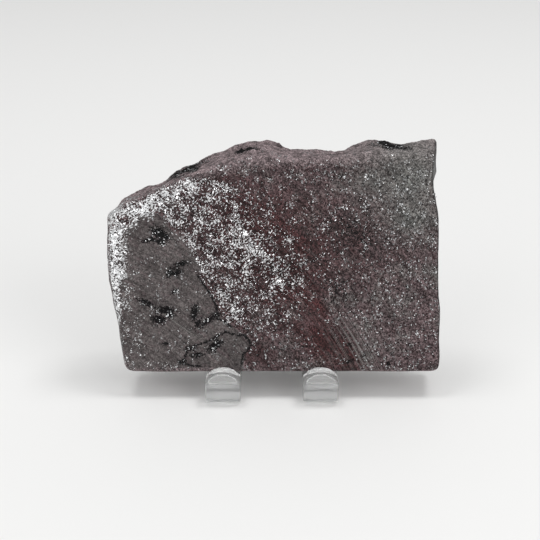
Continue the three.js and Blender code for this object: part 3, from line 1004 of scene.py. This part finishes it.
@dataclass
class HematiteSlab:
    """The stone: its worn surface and the values that colour it.

    Most pairs of numbers are where a share begins and where it is whole, in mm or, for a slope, as
    a part of the normal. A wave has its height in mm and how fast it turns along u and w.
    """

    place: SlabPlace = SlabPlace()
    flecks: FleckLayout = FleckLayout()
    voxel: float = 0.42
    lumps: Relief = Relief("lumps", Pattern.LUMPS, 1.6, 0.26)
    chips: Relief = Relief("chips", Pattern.CHIPS, 0.9, 0.20)
    pits: Relief = Relief("pits", Pattern.LUMPS, 0.5, 0.5)
    relief_steps: int = 20
    relief_middle: float = 0.6
    broken_slope: Span = (0.1, 0.6)
    pit_depth: Span = (0.0, 0.4)
    face_slope: Span = (0.55, 0.9)
    face_depth: float = 3.0
    right_slope: Span = (0.35, 0.7)
    # right_shade darkens the colour of the right side face: painted shade.
    right_shade: float = 0.65
    bottom_slope: Span = (0.3, 0.7)
    # The rounded left edge, where the flecks are thickened as a painted highlight and the dust is
    # cleared from them.
    rim_slope: Span = (-0.97, -0.75)
    rim_u: Span = (-40.9, -42.3)
    rim_w: Span = (7.0, 4.0)
    rim_clean: float = 0.8
    corner_u: Span = (-24.0, -34.0)
    corner_w: Span = (8.0, 5.0)
    corner_flecks: float = 0.8
    corner_clean: float = 0.35
    dust_rise: Span = (-4.0, 1.6)
    low_dust: float = 0.7
    worn_u: Span = (-5.0, -16.0)
    worn_v: Span = (2.4, 0.5)
    cover_limits: Span = (0.004, 0.96)
    dense_cover: float = 0.25
    dense_rust: float = 0.5
    dense_shade: float = 0.40
    saw_least: float = 0.08
    glint_u: Span = (-3.0, -12.0)
    glint_gap: Span = (-14.0, 20.0)
    far: float = 2.0
    grey_edge: Span = (-0.8, 0.8)
    grey_outline: Line = (
        (-42.5, 27.6), (-42.0, 34.5), (-39.8, 39.6), (-37.4, 42.7), (-35.3, 44.5), (-32.0, 44.7),
        (-29.0, 43.2), (-27.4, 40.0), (-23.4, 36.5), (-21.8, 33.6), (-19.8, 30.0), (-20.2, 26.9),
        (-18.9, 24.8), (-17.2, 22.4), (-15.9, 19.6), (-15.2, 17.4), (-13.6, 15.0), (-11.2, 13.2),
        (-8.1, 10.9), (-6.2, 9.2), (-6.3, 7.2), (-8.0, 5.4), (-8.6, -2.0), (-46.0, -2.0), (-43.0, 10.0),
    )
    vugs: tuple[Patch, ...] = (
        Patch(-30.6, 39.0, 2.3, 1.5, -40), Patch(-30.2, 36.8, 1.5, 1.0, -20),
        Patch(-33.2, 37.2, 2.4, 0.6, 8), Patch(-29.0, 38.2, 1.8, 0.6, -45),
        Patch(-28.0, 28.4, 1.3, 1.0, 60), Patch(-24.9, 30.6, 2.0, 0.7, 15),
        Patch(-26.4, 28.0, 1.6, 0.6, 10), Patch(-26.2, 29.6, 2.6, 1.5, 30, 0.35),
        Patch(-34.4, 19.8, 2.8, 0.7, -27), Patch(-29.4, 17.7, 2.7, 0.9, 0),
        Patch(-31.3, 15.0, 2.0, 1.2, 0), Patch(-28.2, 16.4, 1.2, 0.8, 30),
        Patch(-21.5, 16.9, 2.2, 0.9, 80), Patch(-20.6, 14.2, 1.4, 0.8, 60),
        Patch(-17.9, 14.7, 3.0, 0.8, 35), Patch(-15.6, 16.4, 1.4, 0.7, 0),
        Patch(-16.4, 7.2, 1.9, 1.3, 40), Patch(-15.2, 8.6, 1.2, 0.8, 0),
        Patch(-20.9, 5.0, 1.7, 0.7, 0), Patch(-22.6, 6.8, 1.4, 0.6, 20), Patch(-25.0, 3.0, 1.1, 0.6, 0),
        Patch(-26.7, 23.1, 1.1, 0.5, 30), Patch(-29.4, 8.2, 0.9, 0.5, 0),
        Patch(12.7, 44.0, 1.2, 0.5, 0, 0.2), Patch(25.0, 45.7, 2.2, 0.7, -30, 0.2),
        Patch(20.4, 41.0, 2.4, 0.7, -30, 0.2), Patch(17.7, 43.2, 1.6, 0.6, 0, 0.2),
        Patch(26.5, 38.2, 2.0, 0.7, 30, 0.3), Patch(11.6, 30.2, 3.4, 0.5, 14, 0.1),
        Patch(18.0, 24.8, 2.0, 0.9, 60, 0.25), Patch(17.3, 22.4, 1.8, 0.8, 0, 0.2),
        Patch(16.3, 20.3, 2.0, 0.8, -30, 0.25), Patch(20.9, 7.9, 1.0, 0.8, 0, 0.6),
        Patch(21.0, 3.2, 1.5, 0.7, 25, 0.6), Patch(24.8, 5.0, 1.2, 0.5, 30, 0.4),
        Patch(31.7, 2.5, 1.3, 0.7, 60, 0.7), Patch(34.5, 12.2, 0.9, 0.6, 0, 0.4),
    )
    black_specks: tuple[Patch, ...] = (
        Patch(22.5, 38.5, 24.0, 13.0, -30, -0.12), Patch(17.0, 23.5, 12.0, 8.0, 60, -0.06),
        Patch(9.0, 31.0, 14.0, 4.0, 14, -0.10), Patch(30.0, 6.0, 12.0, 5.0, 20, -0.6),
    )
    hollows: tuple[Hollow, ...] = (
        Hollow(-24.4, 8.2, 56.6, 6.4, 5.2, 3.4, 27), Hollow(-8.2, 6.9, 60.9, 3.3, 1.5, 1.8, 8),
        Hollow(32.2, 7.8, 62.4, 5.0, 4.2, 2.6, -4),
    )
    hollow_gain: float = 2.0
    hollow_waves: tuple[tuple[float, float, float], ...] = ((0.9, 1.1, 0.6), (0.6, -1.4, 2.3))
    cracks: tuple[Line, ...] = (
        ((-20.2, 26.9), (-18.9, 24.8), (-17.2, 22.4), (-15.9, 19.6), (-15.2, 17.4), (-17.0, 16.4),
         (-18.3, 14.6), (-20.1, 12.9)),
        ((-25.3, 3.1), (-23.9, 5.0), (-23.9, 7.2), (-20.8, 7.9), (-17.7, 9.0), (-15.0, 10.7),
         (-12.9, 11.6), (-10.5, 10.7), (-8.1, 10.7), (-6.4, 9.0), (-6.4, 7.2), (-8.2, 5.4), (-8.9, 2.5)),
        ((-25.3, 3.1), (-23.0, 2.0), (-20.2, 1.8)),
        ((-15.3, 15.3), (-13.2, 14.6), (-11.9, 13.2)),
    )
    top_edge: Line = (
        (-44.0, 43.0), (-41.2, 45.3), (-34.6, 49.1), (-28.0, 51.9), (-21.0, 54.6), (-14.6, 56.3),
        (-6.6, 58.1), (3.6, 58.6), (18.0, 58.9), (28.0, 59.7), (37.6, 60.2), (46.0, 60.6),
    )
    scored: tuple[Patch, ...] = (
        Patch(22.5, 7.0, 9.0, 4.0, -55, 0.75), Patch(-27.0, 13.0, 9.0, 4.0, -40, 0.25),
    )
    scratch: Line = ((-31.5, 18.5), (-27.5, 14.9), (-22.5, 11.1))
    rusts: tuple[Patch, ...] = (
        Patch(13.0, 8.5, 8.0, 5.0, -45), Patch(12.0, 18.5, 6.0, 3.0, -45, 0.55),
        Patch(2.0, 29.0, 14.0, 10.0, -40, 0.75), Patch(-4.6, 5.6, 6.0, 4.4, -35, 0.6),
        Patch(19.5, 5.0, 6.5, 3.6, -40, 0.8), Patch(-6.0, 44.0, 16.0, 9.0, -40, 0.50),
        Patch(16.0, 38.0, 16.0, 10.0, -35, 0.35),
    )
    greens: tuple[Patch, ...] = (
        Patch(36.5, 54.0, 13.0, 13.0, 0, 1.0), Patch(37.0, 42.0, 6.0, 4.0, 0, 0.6),
        Patch(33.0, 19.0, 6.0, 3.5, 30, 0.2), Patch(26.0, 12.0, 8.0, 3.0, -35, 0.2),
        Patch(8.0, 30.0, 5.0, 3.0, 20, 0.4), Patch(24.0, 53.0, 5.0, 4.0, 0, 0.4),
    )
    darker: tuple[Patch, ...] = (
        Patch(4.0, 32.0, 14.0, 12.0, 0, 0.15), Patch(19.0, 6.5, 11.0, 6.0, -20, 0.34),
        Patch(-3.0, 5.5, 6.0, 5.0, 0, 0.30), Patch(19.0, 38.0, 15.0, 11.0, -30, 0.06),
    )

    def build(self, node: bpy.types.Object) -> bpy.types.Object:
        """Makes the slab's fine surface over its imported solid.

        Args:
            node: The slab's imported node.

        Returns:
            The slab, still along its own axes.
        """
        slab = copy_of_node(node, "hematite_stone")
        slab.data.transform(self.place.matrix().inverted())
        apply_modifier(slab, "REMESH", mode="VOXEL", voxel_size=self.voxel * MM, use_smooth_shade=True)
        at, normal = mesh_points(slab.data)
        broken = smooth(*self.broken_slope, normal[:, 2])
        hollow = smooth(*self.pit_depth, self.values(at, normal)[Mask.VUG])
        self.roughen(slab, self.lumps, broken)
        self.roughen(slab, self.chips, np.maximum(broken, hollow))
        self.roughen(slab, self.pits, hollow)
        return slab

    def roughen(self, slab: bpy.types.Object, relief: Relief, share: Array) -> None:
        """Pushes the surface in and out where it is broken.

        Args:
            slab: The slab, active.
            relief: The pattern and its size.
            share: How much of the relief each point gets.
        """
        group = slab.vertex_groups.new(name=relief.name)
        steps = np.round(share * self.relief_steps).astype(int)
        for step in range(1, self.relief_steps + 1):
            chosen = np.flatnonzero(steps == step)
            if len(chosen):
                group.add(chosen.tolist(), step / self.relief_steps, "REPLACE")
        pattern = bpy.data.textures.new(relief.name, str(relief.pattern))
        pattern.noise_scale = relief.size * MM
        apply_modifier(
            slab, "DISPLACE", texture=pattern, texture_coords="LOCAL", vertex_group=relief.name,
            strength=relief.height * MM, mid_level=self.relief_middle,
        )
        slab.vertex_groups.clear()

    def paint(self, slab: bpy.types.Object) -> None:
        """Writes the values that colour the stone.

        Args:
            slab: The slab along its own axes.
        """
        for mask, value in self.values(*mesh_points(slab.data)).items():
            made = slab.data.attributes.new(str(mask), "FLOAT", "POINT")
            made.data.foreach_set("value", value.astype(np.float32))

    def values(self, at: Array, normal: Array) -> dict[str, Array]:
        """Works out every value from place and slope.

        Args:
            at: Places along u, w and v, in mm.
            normal: The surface's normals along u, w and v.

        Returns:
            One array for each mask and each crack.
        """
        u, w, v = at.T
        front = w < self.face_depth
        face = smooth(*self.face_slope, -normal[:, 1])
        right = smooth(*self.right_slope, normal[:, 0])
        left = smooth(*self.rim_u, u) * smooth(*self.rim_w, w) * smooth(*self.rim_slope, normal[:, 0])
        corner = smooth(*self.corner_u, u) * smooth(*self.corner_w, w)
        outline = self.grey_outline
        depth = line_distance(outline + outline[:1], u, v) * np.where(inside(outline, u, v), 1.0, -1.0)
        grey = smooth(*self.grey_edge, depth) * face
        cover = self.flecks.cover(u, v, grey, left)
        cover = cover * np.maximum.reduce([face, left, self.corner_flecks * corner])
        cover = np.clip(cover, *self.cover_limits)
        dense = np.clip(cover / self.dense_cover, 0.0, 1.0) * face * (1.0 - grey)
        rust = np.clip(glow_of(self.rusts, u, v) + self.dense_rust * dense, 0.0, 1.0)
        up = smooth(*self.dust_rise, side_distance(self.top_edge, u, v))
        worn = smooth(*self.worn_v, v) * smooth(*self.worn_u, u)
        low = np.maximum(smooth(*self.bottom_slope, -normal[:, 2]), worn)
        dust = np.clip(up + self.low_dust * low, 0.0, 1.0)
        # Painted shade darkens the right side face; the dense band and the darker patches are the
        # stone's own darker tone.
        shade = (1.0 - self.right_shade * right) * (1.0 - self.dense_shade * dense)
        dim = np.clip(glow_of(self.darker, u, v), 0.0, 1.0)
        behind = (u < self.glint_gap[0]) | (u > self.glint_gap[1])
        cracks = {
            seam_name(i): np.where(front, self.near(line, u, v), self.far)
            for i, line in enumerate(self.cracks)
        }
        # The finish compares its noise with the sparkle, which is the logarithm of the odds
        # against a fleck.
        return cracks | {
            Mask.GREY: grey,
            Mask.SPARKLE: np.log((1.0 - cover) / cover),
            Mask.RUST: rust * face * (1.0 - grey),
            Mask.GREEN: np.clip(glow_of(self.greens, u, v), 0.0, 1.0),
            Mask.VUG: self.hole_depth(u, w, v, front),
            Mask.DUST: dust * (1.0 - self.rim_clean * left) * (1.0 - self.corner_clean * corner),
            Mask.SHADE: shade * (1.0 - face * dim),
            Mask.SAW: np.clip(self.saw_least + glow_of(self.scored, u, v), 0.0, 1.0) * face,
            Mask.GLINT: np.where(front, smooth(*self.glint_u, u), behind),
            Mask.SCRATCH: self.near(self.scratch, u, v),
        }

    def near(self, line: Line, u: Array, v: Array) -> Array:
        """Measures how far points lie from a line, as side_distance does, but no further than far."""
        return np.clip(side_distance(line, u, v), -self.far, self.far)

    def hole_depth(self, u: Array, w: Array, v: Array, front: Array) -> Array:
        """Works out how deep points lie in the vugs, black specks and wavy-edged hollows.

        Args:
            u: Places to the right, in mm.
            w: Depths behind the face, in mm.
            v: Places up the face, in mm.
            front: Which points belong to the face.

        Returns:
            More than 0 inside a hole, 0 on its edge and less outside.
        """
        depth = np.full(u.shape, -self.far)
        for patch in self.vugs + self.black_specks:
            depth = np.maximum(depth, patch.strength - patch.reach(u, v))
        depth = np.where(front, depth, -self.far)
        wave = sum(size * np.sin(right * u + back * w) for size, right, back in self.hollow_waves)
        for hollow in self.hollows:
            depth = np.maximum(depth, self.hollow_gain * hollow.depth(u + wave, w - wave, v))
        return depth

    def finish(self, slab: bpy.types.Object) -> None:
        """Dresses the slab and puts it in its place.

        Args:
            slab: The slab along its own axes.
        """
        slab.data.transform(self.place.matrix())
        slab.data.materials.append(HematiteFinish().build(self.place, len(self.cracks)))
        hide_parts("hematite_slab")
        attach(slab, "root")


@dataclass
class SpecularFlakes:
    """Thin plates of bright ore that lie in the face, each a little tilted and a hair proud of it."""

    count: int = 1500
    group: int = 3
    seed: int = 11
    sides: int = 6
    long: Span = (0.22, 0.60)
    slim: Span = (0.25, 0.60)
    corner: Span = (0.60, 1.20)
    thick: float = 0.16
    sunk: float = 0.05
    tilt: float = 0.20
    spread: float = 0.55
    growth: Span = (0.55, 0.6)
    shine: Span = (1.8, 0.7)
    most_cover: float = 0.3
    strays: float = 0.008
    face_slope: float = 0.8
    dust_limit: float = 0.4
    vug_limit: float = -0.2

    def build(self, slab: bpy.types.Object, place: SlabPlace) -> bpy.types.Object:
        """Stamps one six-sided plate all over the face, as thickly as its flecks lie.

        Args:
            slab: The painted slab along its own axes.
            place: Where the slab stands.

        Returns:
            All plates as one piece.
        """
        chance = np.random.default_rng(self.seed)
        at, up, share = self.places(slab, chance)
        growth = self.growth[0] + self.growth[1] * share
        corners, faces = self.plate()
        points = self.stamp(chance, at, up, growth, corners)
        step = len(corners)
        rings = [[corner + i * step for corner in face] for i in range(len(at)) for face in faces]
        mesh = bpy.data.meshes.new("bright_flakes")
        mesh.from_pydata((points.reshape(-1, 3) * MM).tolist(), [], rings)
        shine = np.clip(chance.beta(*self.shine, len(at)) * growth, 0.0, 1.0)
        made = mesh.attributes.new("shine", "FLOAT", "POINT")
        made.data.foreach_set("value", np.repeat(shine, step).astype(np.float32))
        mesh.transform(place.matrix())
        flakes = bpy.data.objects.new("bright_flakes", mesh)
        bpy.context.scene.collection.objects.link(flakes)
        mesh.materials.append(FlakeFinish().build())
        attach(flakes, "root")
        return flakes

    def stamp(
        self, chance: np.random.Generator, at: Array, up: Array, growth: Array, corners: Array
    ) -> Array:
        """Puts a ragged, tilted copy of the plate at each place.

        Args:
            chance: The seeded source of chance.
            at: The plates' places, in mm.
            up: The face's normals there.
            growth: How large each plate is beside the others.
            corners: The plate's corners.

        Returns:
            The corners of every plate, in mm.
        """
        count = len(at)
        turn = np.arctan2(corners[:, 1], corners[:, 0]) / math.radians(360.0 / self.sides)
        spoke = np.round(turn).astype(int) % self.sides
        ragged = chance.uniform(*self.corner, (count, self.sides))[:, spoke]
        long = chance.uniform(*self.long, count) * growth
        wide = long * chance.uniform(*self.slim, count)
        across = np.cross(up, chance.normal(size=(count, 3)))
        across /= np.linalg.norm(across, axis=1, keepdims=True)
        up = up + across * np.abs(chance.normal(0.0, self.tilt, count))[:, None]
        up /= np.linalg.norm(up, axis=1, keepdims=True)
        side = np.cross(up, chance.normal(size=(count, 3)))
        side /= np.linalg.norm(side, axis=1, keepdims=True)
        ahead = np.cross(up, side)
        points = at[:, None] + (corners[:, 0] * ragged * long[:, None])[..., None] * side[:, None]
        points += (corners[:, 1] * ragged * wide[:, None])[..., None] * ahead[:, None]
        points += (corners[:, 2] * self.thick - self.sunk)[None, :, None] * up[:, None]
        return points

    def plate(self) -> tuple[Array, list[list[int]]]:
        """Makes the plate that is stamped.

        Returns:
            Its corners, one unit across and thick, and its faces.
        """
        bpy.ops.object.select_all(action="DESELECT")
        bpy.ops.mesh.primitive_cylinder_add(vertices=self.sides, radius=1.0, depth=1.0)
        pattern = bpy.context.active_object
        corners = np.array([tuple(point.co) for point in pattern.data.vertices])
        faces = [list(face.vertices) for face in pattern.data.polygons]
        bpy.data.objects.remove(pattern)
        return corners, faces

    def places(
        self, slab: bpy.types.Object, chance: np.random.Generator
    ) -> tuple[Array, Array, Array]:
        """Picks where the plates lie, in small groups.

        Args:
            slab: The painted slab along its own axes.
            chance: The seeded source of chance.

        Returns:
            Their places in mm, the face's normals there and how thickly flecks lie there.
        """
        at, normal = mesh_points(slab.data)
        read = {}
        for mask in (Mask.SPARKLE, Mask.VUG, Mask.DUST, Mask.GREY):
            read[mask] = np.empty(len(at), np.float32)
            slab.data.attributes[mask].data.foreach_get("value", read[mask])
        cover = 1.0 / (1.0 + np.exp(read[Mask.SPARKLE].astype(float)))
        weight = np.minimum(cover, self.most_cover) + self.strays * (1.0 - read[Mask.GREY])
        weight *= normal[:, 1] < -self.face_slope
        weight *= (read[Mask.DUST] < self.dust_limit) & (read[Mask.VUG] < self.vug_limit)
        groups = chance.choice(len(at), self.count // self.group, p=weight / weight.sum())
        picked = np.repeat(groups, self.group)
        drift = chance.normal(0.0, self.spread, (len(picked), 3))
        up = normal[picked].astype(float)
        drift -= up * np.sum(drift * up, axis=1, keepdims=True)
        return at[picked] + drift, up, cover[picked]


@dataclass
class AcrylicEasel:
    """The clear stand, with its sawn edges eased and polished."""

    edge: float = 0.55
    edge_steps: int = 3
    crease_deg: float = 32.0
    flat_deg: float = 0.5

    def build(self, node: bpy.types.Object) -> bpy.types.Object:
        """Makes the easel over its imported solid.

        Args:
            node: The easel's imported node.

        Returns:
            The finished easel.
        """
        easel = copy_of_node(node, "clear_easel")
        bpy.ops.object.mode_set(mode="EDIT")
        bpy.ops.mesh.select_all(action="SELECT")
        bpy.ops.mesh.dissolve_limited(angle_limit=math.radians(self.flat_deg))
        bpy.ops.object.mode_set(mode="OBJECT")
        apply_modifier(
            easel, "BEVEL", width=self.edge * MM, segments=self.edge_steps, limit_method="ANGLE",
            angle_limit=math.radians(self.crease_deg),
        )
        bpy.ops.object.shade_smooth_by_angle(angle=math.radians(self.crease_deg))
        easel.data.materials.append(AcrylicFinish().build())
        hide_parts("acrylic_easel")
        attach(easel, "root")
        return easel


@dataclass(frozen=True)
class SoftLight:
    """A square soft light, with its place and width in metres and its power in watts."""

    name: str
    place: Place
    width: float
    power: float


@dataclass
class Studio:
    """A pale table, soft light and a camera at the front, a little above."""

    aim_mm: Place = (-1.26, -12.225, 35.94)
    distance: float = 320.0
    elevation_deg: float = 25.0
    lens: float = 79.0
    sensor: float = 36.0
    near: float = 10.0
    floor_size: float = 6.0
    floor_drop: float = 0.05
    paper: Colour = (0.81, 0.81, 0.803)
    paper_roughness: float = 0.7
    world: float = 0.555
    lights: tuple[SoftLight, ...] = (
        SoftLight("front_left", (-0.70, -0.75, 0.45), 0.9, 2.9),
        SoftLight("front_right", (0.75, -0.70, 0.50), 0.7, 4.2),
        SoftLight("top_right", (0.38, 0.08, 1.05), 0.30, 2.9),
        SoftLight("top_left", (-0.28, 0.08, 1.05), 0.30, 2.1),
    )

    def build(self) -> None:
        """Adds the table, the light and the camera."""
        aim = Vector(self.aim_mm) * MM
        self.lay_table()
        self.light(aim)
        self.aim_camera(aim)

    def lay_table(self) -> None:
        """Adds the table a hair below the part."""
        bpy.ops.object.select_all(action="DESELECT")
        place = (0.0, 0.0, -self.floor_drop * MM)
        bpy.ops.mesh.primitive_plane_add(size=self.floor_size, location=place)
        floor = bpy.context.active_object
        floor.name = "table"
        paper = Sketch("pale_paper")
        paper.surface(Base_Color=self.paper, Roughness=self.paper_roughness)
        floor.data.materials.append(paper.material)

    def light(self, aim: Vector) -> None:
        """Adds the soft lights and the even light all round.

        Args:
            aim: The point that the lights face.
        """
        for soft in self.lights:
            bpy.ops.object.light_add(type="AREA", location=soft.place)
            light = bpy.context.active_object
            light.name = f"light_{soft.name}"
            light.data.size = soft.width
            light.data.energy = soft.power
            light.rotation_euler = (aim - Vector(soft.place)).to_track_quat("-Z", "Y").to_euler()
        scene = bpy.context.scene
        scene.world = bpy.data.worlds.new("soft_room")
        scene.world.use_nodes = True
        background = scene.world.node_tree.nodes["Background"]
        background.inputs["Color"].default_value = (1.0, 1.0, 1.0, 1.0)
        background.inputs["Strength"].default_value = self.world
        scene.view_settings.view_transform = "Standard"

    def aim_camera(self, aim: Vector) -> None:
        """Adds the camera.

        Args:
            aim: The point that it looks at.
        """
        elevation = math.radians(self.elevation_deg)
        back = Vector((0.0, -math.cos(elevation), math.sin(elevation)))
        bpy.ops.object.camera_add(location=aim + back * self.distance * MM)
        camera = bpy.context.active_object
        camera.data.lens = self.lens
        camera.data.sensor_width = self.sensor
        camera.data.clip_start = self.near * MM
        camera.rotation_euler = (-back).to_track_quat("-Z", "Y").to_euler()
        bpy.context.scene.camera = camera


def main() -> None:
    """Builds the pieces in order and reports each one."""
    logging.basicConfig(level=logging.INFO, format="%(message)s")
    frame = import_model()
    slab = HematiteSlab()
    stone = slab.build(frame["nodes"]["hematite_slab"])
    slab.paint(stone)
    flakes = SpecularFlakes().build(stone, slab.place)
    LOG.info("bright flakes: %d faces", len(flakes.data.polygons))
    slab.finish(stone)
    LOG.info("hematite stone: %d faces", len(stone.data.polygons))
    easel = AcrylicEasel().build(frame["nodes"]["acrylic_easel"])
    LOG.info("clear easel: %d faces", len(easel.data.polygons))
    Studio().build()


if __name__ == "__main__":
    main()
